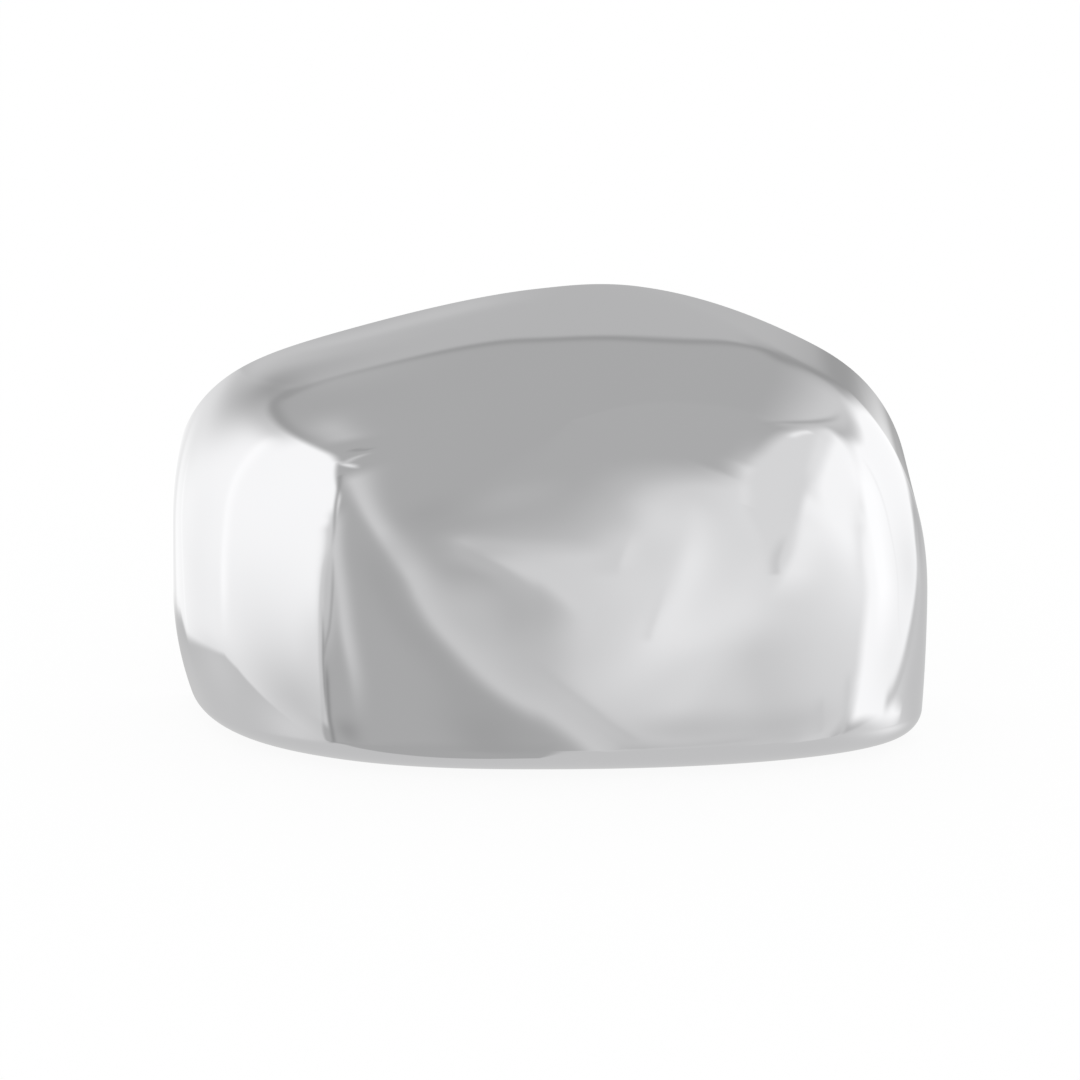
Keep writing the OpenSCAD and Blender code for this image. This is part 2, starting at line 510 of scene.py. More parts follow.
def settle_on_skin(shell, s):
    """Puts all points on the skin, those near the rim each in its own plane."""
    rim_band = 12 * MM
    co = get_points(shell.data)
    centre = np.tile(eye(s), (len(co), 1))
    near_rim = co[:, 1] > s.depth / 2 - rim_band
    centre[near_rim, 1] = co[near_rim, 1]
    rays = co - centre
    rays /= np.linalg.norm(rays, axis=1, keepdims=True)
    set_points(shell.data, wall_points(centre, rays, 0, s))


def thicken(shell, s, m):
    """Gives the skin its wall, thinner along the lip, and a flat rim."""
    rim_y = s.depth / 2
    at_rim = 0.05 * MM
    co = get_points(shell.data)
    lip = co[:, 1] > rim_y - m.lip_depth - TOLERANCE
    group = shell.vertex_groups.new(name="wall")
    group.add([int(i) for i in np.flatnonzero(~lip)], 1.0, "REPLACE")
    group.add([int(i) for i in np.flatnonzero(lip)], m.lip_wall / m.wall, "REPLACE")
    outside = len(co)
    finish_modifier(
        shell,
        "SOLIDIFY",
        thickness=m.wall,
        offset=-1,
        use_even_offset=False,
        vertex_group="wall",
    )
    co = get_points(shell.data)
    rim = np.flatnonzero(co[:outside, 1] > rim_y - at_rim)
    co[rim, 1] = rim_y
    co[rim + outside, 1] = rim_y
    set_points(shell.data, co)
    shell.vertex_groups.clear()
    finish_modifier(
        shell,
        "BEVEL",
        width=m.edge_round,
        segments=3,
        limit_method="ANGLE",
        angle_limit=math.radians(60),
    )


def smooth_by_skin(shell, s):
    """Shades the outer side by the skin's own slope, so that reflections run true."""
    on_skin, facing_out = 0.02 * MM, 0.97
    mesh = shell.data
    corners = len(mesh.loops)
    normals = np.empty(corners * 3)
    mesh.corner_normals.foreach_get("vector", normals)
    normals = normals.reshape(-1, 3)
    index = np.empty(corners, int)
    mesh.loops.foreach_get("vertex_index", index)
    faces = len(mesh.polygons)
    flat = np.empty(faces * 3)
    mesh.polygons.foreach_get("normal", flat)
    sides = np.empty(faces, int)
    mesh.polygons.foreach_get("loop_total", sides)
    flat = np.repeat(flat.reshape(-1, 3), sides, axis=0)
    co = get_points(mesh)
    slope = skin_slope(co, s)[index]
    gap = skin_gap(co, s)[index]
    outer = (np.abs(gap) < on_skin) & ((flat * slope).sum(1) > facing_out)
    normals[outer] = slope[outer]
    mesh.normals_split_custom_set(normals.tolist())


# Hooks and ribs


def hook_model(m):
    """One snap hook, with the wall under it at Z = 0 and the rim towards +Y."""
    root_thick = 1.5 * m.hook_thick
    top = m.hook_gap + m.hook_thick
    foot = -m.wall / 2
    barb_y = m.hook_length - m.barb_run
    deselect()
    bpy.ops.mesh.primitive_cube_add(size=1, location=(0, root_thick / 2, (foot + top) / 2))
    bpy.context.object.scale = (m.hook_width, root_thick, top - foot)
    hook = added("snap_hook")
    cut_plane(hook, (0, 0, m.hook_gap), (0, 0, 1))
    pick_faces(hook, lambda centre, normal: normal.y > 0.9 and centre.z > m.hook_gap)
    extrude(hook, (0, m.hook_length - root_thick, 0))
    cut_plane(hook, (0, barb_y, 0), (0, 1, 0))
    pick_faces(hook, lambda centre, normal: normal.z > 0.9 and centre.y > barb_y)
    extrude(hook, (0, 0, m.barb_height))
    # The barb falls to the tongue at its tip, and the points that meet there become one
    co = get_points(hook.data)
    tip = (co[:, 1] > m.hook_length - TOLERANCE) & (co[:, 2] > top)
    co[tip, 2] = top
    set_points(hook.data, co)
    edit(hook)
    bpy.ops.mesh.select_all(action="SELECT")
    bpy.ops.mesh.remove_doubles(threshold=TOLERANCE)
    bpy.ops.mesh.normals_make_consistent(inside=False)
    leave()
    return hook


def gusset_model(m, x, toe):
    """A wedge from the top of the root down to the wall in front of it."""
    top = m.hook_gap + m.hook_thick
    foot = -m.wall / 2
    back = m.hook_thick
    deselect()
    bpy.ops.mesh.primitive_cube_add(
        size=1, location=(x + m.gusset_thick / 2, (back - m.gusset_run) / 2, (foot + top) / 2)
    )
    bpy.context.object.scale = (m.gusset_thick, back + m.gusset_run, top - foot)
    gusset = added("gusset")
    cut_plane(gusset, (0, 0, 0), (0, 1, 0))
    co = get_points(gusset.data)
    front = co[:, 1] < -TOLERANCE
    co[front & (co[:, 2] > 0), 2] = toe
    co[front & (co[:, 2] < 0), 2] = toe + foot
    set_points(gusset.data, co)
    return gusset


def place_hook(s, m, degrees):
    """Where a hook stands on the inner wall, and the height of its gussets' toes."""
    root = eye(s, m.hook_inset + m.hook_length)
    front = eye(s, m.hook_inset + m.hook_length + m.gusset_run)
    turns = np.radians([degrees, degrees + 1])
    rays = np.stack([np.cos(turns), np.zeros(2), np.sin(turns)], 1)
    p, q = wall_points(root, rays, m.wall, s)
    toe = wall_points(front, rays[:1], m.wall, s)[0]
    along = (q - p) / np.linalg.norm(q - p)
    inward = np.array((-along[2], 0, along[0]))
    frame_of_hook = Matrix(
        [[along[k], (0, 1, 0)[k], inward[k], p[k]] for k in range(3)] + [[0, 0, 0, 1]]
    )
    return frame_of_hook, float((toe - p) @ inward)


class MIRROR_OT_hooks(bpy.types.Operator):
    """Model the snap hooks and their gussets inside the rim"""

    bl_idname = "mirror.hooks"
    bl_label = "Snap hooks"

    def execute(self, context):
        s, m = settings()
        for order, degrees in enumerate(HOOK_ANGLES, 1):
            place, toe = place_hook(s, m, degrees)
            parts = [hook_model(m)]
            for x in (-m.hook_width / 2, m.hook_width / 2 - m.gusset_thick):
                parts.append(gusset_model(m, x, toe))
            for part in parts:
                soften(part, m.hook_round)
            deselect()
            for part in parts:
                part.select_set(True)
            bpy.context.view_layer.objects.active = parts[0]
            bpy.ops.object.join()
            hook = bpy.context.object
            hook.name = hook.data.name = f"snap_hook_{order}"
            hook.data.transform(place)
            bpy.ops.object.shade_smooth_by_angle(angle=SHARP)
            finish_piece(hook, dull_plating())
        return {"FINISHED"}


class MIRROR_OT_ribs(bpy.types.Operator):
    """Model the upright stiffening ribs inside the face"""

    bl_idname = "mirror.ribs"
    bl_label = "Stiffening ribs"

    def execute(self, context):
        s, m = settings()
        for i in range(m.rib_count):
            x = s.nose_x + (i - (m.rib_count - 1) / 2) * m.rib_pitch
            rib = rib_model(f"rib_{i + 1}", x, s, m)
            soften(rib, m.rib_round)
            bpy.ops.object.shade_smooth_by_angle(angle=SHARP)
            finish_piece(rib, dull_plating())
        return {"FINISHED"}


def rib_model(name, x, s, m):
    """A thin arch that stands on the inner wall, in an upright plane."""
    turn = np.linspace(-math.pi / 2, math.pi / 2, m.rib_parts + 1)
    rays = np.stack([np.zeros_like(turn), -np.cos(turn), np.sin(turn)], 1)
    centre = eye(s, m.rib_inset)
    centre[0] = x
    foot = wall_points(centre, rays, m.wall / 2, s)
    crest = wall_points(centre, rays, m.wall + m.rib_height, s)
    deselect()
    bpy.ops.mesh.primitive_grid_add(x_subdivisions=m.rib_parts, y_subdivisions=1, size=1)
    rib = added(name)
    co = get_points(rib.data)
    along = np.rint((co[:, 0] + 0.5) * m.rib_parts).astype(int)
    co = np.where(co[:, 1:2] < 0, foot[along], crest[along])
    co[:, 0] = x - m.rib_thick / 2
    set_points(rib.data, co)
    edit(rib)
    bpy.ops.mesh.select_all(action="SELECT")
    bpy.ops.mesh.extrude_region_move(TRANSFORM_OT_translate={"value": (m.rib_thick, 0, 0)})
    bpy.ops.mesh.select_all(action="SELECT")
    bpy.ops.mesh.normals_make_consistent(inside=False)
    leave()
    return rib


# The studio: floor, light tent, camera


class MIRROR_OT_stage(bpy.types.Operator):
    """Set up the floor, the light tent, the world light and the camera"""

    bl_idname = "mirror.stage"
    bl_label = "Studio"

    def execute(self, context):
        make_floor()
        make_tent()
        make_world()
        make_camera()
        context.scene.view_settings.view_transform = "Standard"
        return {"FINISHED"}


def make_floor():
    """White ground that glows by itself for the most part, so that its shadow stays faint."""
    lit_share = 0.1
    deselect()
    bpy.ops.mesh.primitive_plane_add(size=8, location=(0, 0, 0))
    floor = added("floor")
    material, tree = new_material("floor_white")
    colour = (*bpy.context.scene.cover_finish.floor, 1)
    glow = node(tree, "ShaderNodeEmission", Color=colour, Strength=1.0)
    lit = node(tree, "ShaderNodeBsdfDiffuse", Color=colour)
    mix = node(tree, "ShaderNodeMixShader", Fac=lit_share)
    end = node(tree, "ShaderNodeOutputMaterial")
    tree.links.new(glow.outputs["Emission"], mix.inputs[1])
    tree.links.new(lit.outputs["BSDF"], mix.inputs[2])
    tree.links.new(mix.outputs["Shader"], end.inputs["Surface"])
    floor.data.materials.append(material)
    floor.visible_glossy = False


def smooth_line(points, steps=6):
    """A smooth curve through given points."""
    p = np.array(points, float)
    q = np.vstack([2 * p[0] - p[1], p, 2 * p[-1] - p[-2]])
    out = []
    for a, b, c, d in zip(q, q[1:], q[2:], q[3:]):
        for t in np.arange(steps) / steps:
            bend = (2 * a - 5 * b + 4 * c - d) * t**2 + (3 * b - a - 3 * c + d) * t**3
            out.append(0.5 * (2 * b + (c - a) * t + bend))
    return np.array(out + [p[-1]])


class PaintedTentLight:
    """A map of the tent's painted light and shade, by degrees round from the front and degrees up."""

    def __init__(self, shade, segments=900, rings=450, draw=0.45):
        """Painted light of one shade all over, with its columns drawn together in front."""
        turn = np.linspace(-180, 180, segments + 1)
        self.turn = turn - np.degrees(draw * np.sin(np.radians(turn)))
        self.up = np.linspace(-90, 90, rings + 1)
        self.light = np.full((rings + 1, segments + 1), float(shade))

    def window(self, low, high, reach):
        """The rows and columns of the map within reach of a box."""
        c = np.searchsorted(self.turn, (low[0] - reach, high[0] + reach))
        r = np.searchsorted(self.up, (low[1] - reach, high[1] + reach))
        return slice(r[0], r[1]), slice(c[0], c[1])

    def nearest(self, line, reach):
        """How far each place is from a line, on which side, and how far along."""
        out_of_reach = 1e9
        far = np.full(self.light.shape, out_of_reach)
        side, along = np.zeros_like(far), np.zeros_like(far)
        for i, (a, b) in enumerate(zip(line, line[1:])):
            w = self.window(np.minimum(a, b), np.maximum(a, b), reach)
            u, v = self.turn[w[1]] - a[0], (self.up[w[0]] - a[1])[:, None]
            x, y = b - a
            t = np.clip((u * x + v * y) / max(x * x + y * y, 1e-9), 0, 1)
            d = np.hypot(u - t * x, v - t * y)
            closer = d < far[w]
            far[w] = np.where(closer, d, far[w])
            side[w] = np.where(closer, np.sign(x * v - y * u), side[w])
            along[w] = np.where(closer, (i + t) / (len(line) - 1), along[w])
        return far, side, along

    def enclosed(self, line):
        """Which places a closed line holds."""
        odd = np.zeros(self.light.shape, bool)
        for a, b in zip(line, np.roll(line, -1, 0)):
            rows = slice(*np.searchsorted(self.up, sorted((a[1], b[1]))))
            share = (self.up[rows] - a[1]) / ((b[1] - a[1]) or 1)
            odd[rows] ^= self.turn < (a[0] + share * (b[0] - a[0]))[:, None]
        return odd

    def lay(self, shade, weight):
        """Blends a shade in by weight."""
        self.light += (shade - self.light) * weight

    def panel(self, points, shade, soft, offset=0, strength=1.0, steps=6):
        """A wall of the tent in painted light, with a soft edge."""
        line = smooth_line(list(points) + [points[0]], steps) + (offset, 0)
        far = self.nearest(line, soft)[0]
        depth = np.where(self.enclosed(line[:-1]), far, -far)
        self.lay(shade, strength * ease(0.5 + 0.5 * depth / soft))

    def fold(self, points, left, right, shade, strength=1.0, fade=(0.0, 0.0)):
        """A soft stroke of painted light or shade along a fold, with its own width on each side."""
        reach = 2.6 * max(left, right)
        line = smooth_line(points)
        far, side, along = self.nearest(line, reach)
        weight = strength * np.exp(-((far / np.where(side > 0, left, right)) ** 2))
        for end, share in zip((along, 1 - along), fade):
            if share:
                weight *= ease(end / share)
        self.lay(shade, weight)

    def glow(self, centre, size, shade, strength=1.0, lean=0.0):
        """A soft patch of light or shade."""
        x, y = self.turn - centre[0], (self.up - centre[1])[:, None]
        c, s = np.cos(np.radians(lean)), np.sin(np.radians(lean))
        u, v = (c * x + s * y) / size[0], (c * y - s * x) / size[1]
        self.lay(shade, strength * np.exp(-(u * u + v * v)))


# The parts of the tent's painted light and shade, in the order in which they are laid. Places are in
# degrees: round from the front, and up. A panel ends with its shade and the softness of its edge; a
# fold with its widths on the left and the right of its run, its shade, its strength, and how gently
# it begins and ends; a glow with its size, shade and strength.


def paint_left_wall(cloth):
    """Ceiling, with a lighter sag on the left, and the left wall."""
    cloth.fold([(-143, 50), (-132, 54), (-122, 58.5), (-113, 61.5)], 3.4, 4, 189, 0.85, (0.5, 0.3))
    # The left wall, brightest at the top, in shade towards the drape and the back
    cloth.panel([
        (-180, -30), (-180, 5), (-158, 12), (-152, 25), (-149.5, 32), (-145, 36), (-138, 39.5),
        (-132, 44), (-126, 48.5), (-119, 52.8), (-112, 56.2), (-105, 58.6), (-97, 59.6), (-80, 61),
        (-40, 40), (-36, 0), (-40, -45), (-60, -66), (-110, -50),
    ], 247, 1.2)
    cloth.glow((-147, 33), (13.5, 18), 165, 0.95)
    cloth.fold([
        (-149, 34), (-140, 38), (-132, 43.5), (-125, 48.8), (-117, 53.6),
    ], 1, 5, 176, 0.6, (0.2, 0.5))
    cloth.fold([
        (-150, 24), (-151.5, 14), (-153, 4), (-155, -6), (-158, -15),
    ], 3, 9, 221, 0.8, (0.3, 0.0))
    cloth.fold([(-143.5, 6), (-142, -3), (-141, -10), (-139.5, -17)], 1.3, 1.0, 255, 0.8, (0.4, 0.0))
    cloth.glow((-66, -52), (34, 38), 185, 0.95)
    cloth.glow((-118, 0), (15, 20), 240, 0.7)
    cloth.glow((-122, -12), (24, 8), 234, 0.5)
    cloth.glow((-148, 9), (9, 11), 212, 0.55)
    cloth.fold([
        (-127, 45), (-119, 38.5), (-112, 31), (-105, 22), (-99.5, 12), (-97.5, 2), (-98, -8),
        (-101, -20),
    ], 3.5, 2.2, 254, 0.7, (0.1, 0.2))


def paint_floor(cloth):
    """The tent's floor, in shade along its far edge."""
    cloth.panel([
        (-200, -16), (-160, -16), (-148, -16.4), (-143, -19), (-130, -20.2), (-118, -21.4),
        (-104, -23), (-97, -27), (-91, -33), (-85, -40), (-79, -47.5), (-75, -52), (-73.5, -56),
        (-71, -60), (-64, -62.5), (-56, -63), (0, -62), (70, -48), (88, -36), (104, -19), (130, 0),
        (200, -16), (200, -95), (-200, -95),
    ], 190, 1, steps=1)
    cloth.glow((-116, -27), (16, 7), 206, 0.6)
    cloth.fold([
        (-180, -17.4), (-160, -17.6), (-147, -18.2), (-141, -20.6), (-128, -22), (-112, -24),
    ], 1.5, 3.5, 178, 0.7, (0, 0.6))
    cloth.glow((-140, -30), (32, 9), 189, 0.8)
    cloth.glow((-84, -48), (20, 9), 208, 0.8)
    cloth.glow((108, -44), (26, 10), 228, 0.9)
    cloth.panel([
        (104, -19), (112, -12), (119, 0), (128, 4), (142, 0), (158, -6), (180, -13), (204, -14),
        (204, -24), (104, -24),
    ], 190, 4)


def paint_back_wall(cloth):
    """The back wall, met from both ends of the map, and the painted shade in the corners beside it."""
    for offset in (0, -360):
        cloth.panel([
            (149, 0), (157, 22), (154.5, 34), (154, 42), (156, 46.5), (160, 50), (166, 52.5),
            (173, 54), (180, 54.2), (187, 53), (193, 50), (199, 46), (206, 42.5), (212, 39.5),
            (210.5, 30), (206, 21), (199, 17), (180, 12), (160, 6),
        ], 179, 0.8, offset)
        hem = [
            (153, 36), (154, 44), (159, 50.5), (167, 54), (178, 55), (187, 53.8), (194, 50),
            (201, 45.5), (208, 42), (215, 40),
        ]
        cloth.fold([(x + offset, y) for x, y in hem], 1.1, 0.8, 151, 0.85)
        cloth.glow((206 + offset, 31), (7, 12), 193, 0.8)
    # Light strip along the back wall's foot on the left, and the shade above it
    cloth.fold([
        (-150, 25.5), (-155, 27.5), (-160, 29.2), (-165, 32.5), (-169, 35.5), (-176, 39.5),
    ], 3, 1.8, 194, 0.7, (0.2, 0.3))
    cloth.fold([
        (-149, 35), (-153, 35.5), (-157, 38), (-161, 41), (-166, 44.5),
    ], 4, 6, 168, 0.65, (0.1, 0.6))
    cloth.glow((-148.5, 35.5), (5.5, 4.5), 154, 0.8)
    # Painted shade in the back corner on the left
    cloth.fold([
        (-152, 42), (-147, 39.4), (-142, 39.4), (-136, 43), (-127, 49.2), (-118.7, 54.9), (-110, 59),
    ], 1.5, 1.2, 151, 0.85, (0.2, 0.6))
    # Painted shade in the back corner on the right
    cloth.fold([
        (151, 44), (151.5, 37), (153.5, 27), (155.8, 17), (158, 8), (160, -3),
    ], 3.2, 2.4, 149, 0.95, (0.2, 0.1))


def paint_front_drape(cloth):
    """The shaded cloth of the front drape, down to its foot."""
    cloth.panel([
        (-96, 59.4), (-86, 57.8), (-76, 55.6), (-65, 52), (-57, 45.6), (-51.4, 37.8), (-48.4, 29.5),
        (-47.4, 20), (-47.2, 8), (-47.6, -6), (-49, -18), (-51.6, -29), (-56, -38.6), (-62.3, -46.4),
        (-69, -51.8), (-73, -56), (-70, -60), (-58, -62.2), (-30, -61.8), (0, -60.8), (20, -58.5),
        (34, -56), (48, -51.8), (62, -49), (68, -44), (62, 30), (20, 66), (-60, 66),
    ], 168, 0.8)
    cloth.panel([
        (-66, -58), (-74, -63.5), (-84, -71), (-100, -77), (-125, -81), (-140, -85), (-140, -96),
        (2, -96), (3, -80), (3, -66), (2, -57), (-30, -57),
    ], 164, 2, steps=1)
    cloth.glow((-8, -52), (9, 18), 156, 0.8)
    cloth.glow((-4, 53), (8, 10), 177, 0.8)
    cloth.glow((-23, 48), (8, 9), 162, 0.6, 60)
    cloth.glow((-54, -51), (7, 4), 153, 0.9, 30)
    cloth.glow((-66, -58.5), (7, 2.6), 160, 0.8)


def paint_lit_cloth(cloth):
    """The lit cloth of the drape, with a soft top edge."""
    cloth.panel([
        (-12, 35), (-3, 38), (3, 42), (8, 49), (13, 57), (20, 62), (34, 66), (50, 63), (60, 50),
        (40, 30), (-4, 28),
    ], 188, 8)
    cloth.panel([
        (-10, 34.4), (-5, 33.8), (2, 33), (7, 33.6), (10.3, 39), (14.5, 48.5), (22, 56), (38, 61),
        (50, 60), (66, 58), (66, -49), (48, -51.8), (34, -56), (22, -58), (14, -55), (8, -47),
        (3, -36), (0.5, -22), (0.5, -8), (1.5, 8), (-1.5, 19), (-6, 27.5),
    ], 206, 4.5)
    cloth.glow((32, 62), (18, 9), 192, 0.7)
    # Cloth between the swag and the first fold
    cloth.fold([(-2, -34), (-3, -16), (-6, 0), (-11, 13), (-17, 23)], 6, 6, 187, 0.85, (0.3, 0.4))
    cloth.glow((-7, 31), (6, 5), 180, 0.7)
    cloth.glow((-6, 12), (6, 10), 190, 0.45)
    cloth.glow((10.8, 43.5), (3.2, 6), 178, 0.55)
    cloth.fold([
        (-13, 34.4), (-8.6, 30.4), (-3.8, 25.2), (-1.2, 18), (0.2, 9), (0.8, -2), (0.5, -12),
    ], 0.9, 3.2, 180, 0.7, (0.2, 0.75))


def paint_hangings(cloth):
    """The hangings of the lit cloth, from left to right."""
    cloth.fold([
        (-9, 34.5), (-4.5, 29), (0, 21), (2.8, 12), (4.2, 3), (4.4, -10),
    ], 1.6, 1.1, 212, 0.6, (0.6, 0.4))
    cloth.fold([
        (-1.6, -12), (0.8, -24), (4.4, -35), (9, -46), (13, -52), (17, -57),
    ], 0.8, 1.8, 182, 0.7, (0.2, 0.15))
    cloth.fold([(6.5, -47), (9, -52.5), (13, -59)], 0.7, 1.0, 180, 0.6, (0.3, 0.1))
    cloth.fold([(8.6, 20), (9.0, 26), (10, 32), (11.5, 39)], 2.6, 0.4, 194, 0.6, (0.25, 0.5))
    cloth.fold([(9.6, 22), (10.3, 28), (11.5, 34), (13, 40)], 0.6, 1.6, 216, 0.6, (0.3, 0.5))
    cloth.fold([
        (9, -44), (11, -28), (14, -12), (17, 4), (20, 20), (23, 36), (26, 52),
    ], 5, 6, 219, 0.85, (0.3, 0.3))
    cloth.fold([
        (12, -20), (13.6, -6), (15.4, 5), (17.4, 16), (19.8, 28), (22.5, 40), (25, 52),
    ], 2, 3, 234, 0.75, (0.4, 0.4))
    cloth.fold([
        (12.4, -10), (12.5, -4), (13.2, 4), (14.4, 14), (15.5, 22),
    ], 1.0, 0.5, 200, 0.75, (0.2, 0.6))
    cloth.fold([(22, -6), (26, 6), (29, 18), (30, 32)], 4, 5, 214, 0.7, (0.3, 0.3))
    cloth.fold([(20, -52), (19, -38), (20, -24), (24, -10)], 5, 4, 213, 0.8, (0.3, 0.4))
    cloth.glow((24, 4), (9, 18), 227, 0.6)
    cloth.glow((35, 38), (10, 14), 217, 0.5)
    cloth.glow((17, -6), (7, 12), 236, 0.4)
    cloth.glow((17, 40), (7, 9), 222, 0.5)
    cloth.glow((11, 18), (5, 16), 219, 0.5)
    cloth.glow((24, -50), (13, 8), 185, 0.7)
    # Shaded fold low on the right, and the open light beside the right wall
    cloth.fold([
        (48, -58), (41, -48), (35, -34), (31, -20), (32, -9), (37, 1),
    ], 5, 9, 198, 0.9, (0.02, 0.4))
    cloth.glow((44, -48), (16, 8), 186, 0.8, 10)
    cloth.glow((66, 30), (25, 42), 246)
    cloth.fold([
        (31.5, 4), (36, 14), (39.5, 21.5), (44.5, 29.5), (51, 36.5), (57, 40.5),
    ], 2, 7, 241, 0.65, (0.3, 0.35))
    cloth.panel([
        (-10, 62), (10, 63), (22, 62.5), (30, 62), (38, 61), (48, 61.5), (60, 66), (80, 70), (110, 70),
        (130, 90), (-10, 90),
    ], 170, 9, steps=1)
    cloth.panel([
        (48, 61), (56, 63.2), (66, 64.2), (80, 64.6), (95, 64.2), (106, 63), (115, 61), (121, 57.4),
        (128, 66), (130, 90), (40, 90), (44, 66),
    ], 170, 4)


def paint_upper_step(cloth):
    """The upper step of the right wall, whose lower end hangs down in shade."""
    cloth.panel([
        (33.2, 18), (32.6, 28), (33.4, 38), (36.5, 46), (41, 50.4), (46, 54.2), (52, 57.6), (60, 60.4),
        (75, 62.8), (90, 62.8), (102, 61.4), (112, 58.6), (119, 54.6), (123.8, 50), (125, 46),
        (119, 48.2), (112, 50), (100, 51.8), (85, 52.2), (74, 51), (63, 47.5), (54, 42.6), (46, 36),
        (40, 28.5), (36, 21),
    ], 213, 1.8)
    cloth.fold([(45, 37), (52, 43.2), (61, 48.3), (74, 52.4), (90, 54)], 3, 1.2, 212, 0.7, (0.2, 0.3))
    cloth.fold([(36, 46), (40, 50.3), (46, 55), (54, 58.5)], 1.0, 2.2, 222, 0.6, (0.1, 0.6))
    cloth.fold([(33.8, 16), (34.6, 22.5), (37.3, 28.5), (41.5, 34)], 1.4, 0.8, 196, 0.7, (0.1, 0.6))
    cloth.fold([(57, -24), (60, -33), (64, -41), (70, -49)], 1.0, 1.8, 200, 0.6, (0.3, 0.1))
    cloth.fold([(50, -34), (54, -42), (60, -50)], 1.0, 2.2, 194, 0.5, (0.4, 0.1))
    # Fan of light beside the right wall
    cloth.panel([(122, 56), (130, 52), (138, 46), (145, 38), (148, 28), (140, 28), (128, 40)], 202, 6)


def paint_right_wall(cloth):
    """The right wall in painted light: grey shade inside, with a white edge."""
    cloth.panel([
        (63, -30), (60.8, -15), (61.5, 0), (63.5, 12), (68, 21), (75, 28.5), (84, 34.5), (95, 39),
        (110, 42), (121, 42.6), (127, 38.2), (132, 35.6), (138, 33), (143, 29), (147.8, 22.6),
        (151.8, 16), (155.4, 10), (158.4, 5), (160.6, 0), (162.2, -4.5), (160, -6), (152, -1.5),
        (142, 2.6), (134, 5.4), (127, 5.2), (121.5, 3.4), (116.5, -2), (111.5, -6.4), (105.5, -11.5),
        (98, -18), (93, -25.5), (91, -31.5), (97, -32.5), (104, -33), (99, -37), (88, -40), (76, -42),
        (70, -43.5), (66.5, -40),
    ], 249, 3)
    cloth.glow((101, 2), (17, 15), 236, 0.9)
    cloth.glow((84, -22), (14, 14), 238, 0.8)
    cloth.panel([
        (62, 33.5), (64.5, 40.5), (68.5, 45), (74, 48.4), (80, 50.8), (90, 52.4), (102, 52.2),
        (112, 50.6), (119, 48.6), (124, 46), (119, 41.8), (104, 39.8), (88, 36.4), (79, 31),
    ], 246, 3)
    cloth.fold([
        (128, 40), (112, 40.6), (98, 37), (87.5, 31.5), (79, 23.5), (73, 13), (70.8, 2), (70.8, -10),
        (73, -26),
    ], 8, 3.6, 256, 1.0, (0.25, 0.3))
    cloth.fold([
        (57, -8), (59, 6), (62, 16), (68, 25.5), (77.5, 33.5), (90, 39), (106, 42),
    ], 3, 2, 228, 0.6, (0.3, 0.5))
    cloth.fold([(110, 58), (117, 54.5), (121.5, 50.5)], 0.7, 0.7, 245, 0.7, (0.4, 0.2))
    cloth.fold([
        (115, 62.5), (120.5, 58), (124.3, 53), (127.5, 48), (131.5, 42.5), (137, 37),
    ], 0.7, 0.7, 158, 0.7, (0.4, 0.4))
    # Shade along the far edge of the right wall
    cloth.fold([
        (158.3, 18), (158.2, 11), (158.6, 7.5), (159.8, 3.5), (161.5, 0), (163.6, -4), (166.5, -8),
        (170, -11.5),
    ], 3, 2.1, 152, 0.95, (0.1, 0.0))
    # Shadow where the right wall meets the floor
    cloth.fold([
        (84, -36), (90, -31.5), (96, -25), (103, -19.5), (113, -13), (121, -8),
    ], 3.5, 3, 194, 0.85, (0.15, 0.1))
    cloth.fold([
        (122, -5), (129, -3), (136, -2), (142, -2.5), (150, -5.5), (160, -10),
    ], 2.6, 4, 179, 0.85, (0.4, 0.1))
    cloth.fold([
        (120.5, 40.5), (113, 36.2), (101, 28.6), (92, 20), (86.5, 8), (84.3, -5.8), (87, -14),
        (94, -21),
    ], 0.8, 0.8, 238, 0.55, (0.2, 0.2))


def paint_swag(cloth):
    """The swag across the front."""
    cloth.fold([
        (-9, -48), (-10, -34), (-14, -18), (-21, -2), (-27, 13), (-33, 25), (-43, 38),
    ], 5, 5, 160, 0.6, (0.2, 0.3))
    cloth.fold([
        (9.5, -60), (5, -51), (0.8, -41), (-3.2, -31), (-6.8, -20.5), (-10.3, -10), (-14, 0),
        (-17.3, 10), (-20.8, 20), (-27, 30), (-37, 41),
    ], 2.4, 6, 199, 0.95, (0.0, 0.2))
    cloth.fold([
        (-20.6, 19), (-27.6, 30.5), (-37.4, 41.5), (-49, 50.2), (-61, 55.8), (-73, 59), (-86, 60.4),
    ], 2.3, 4.4, 202, 0.92, (0.3, 0.2))


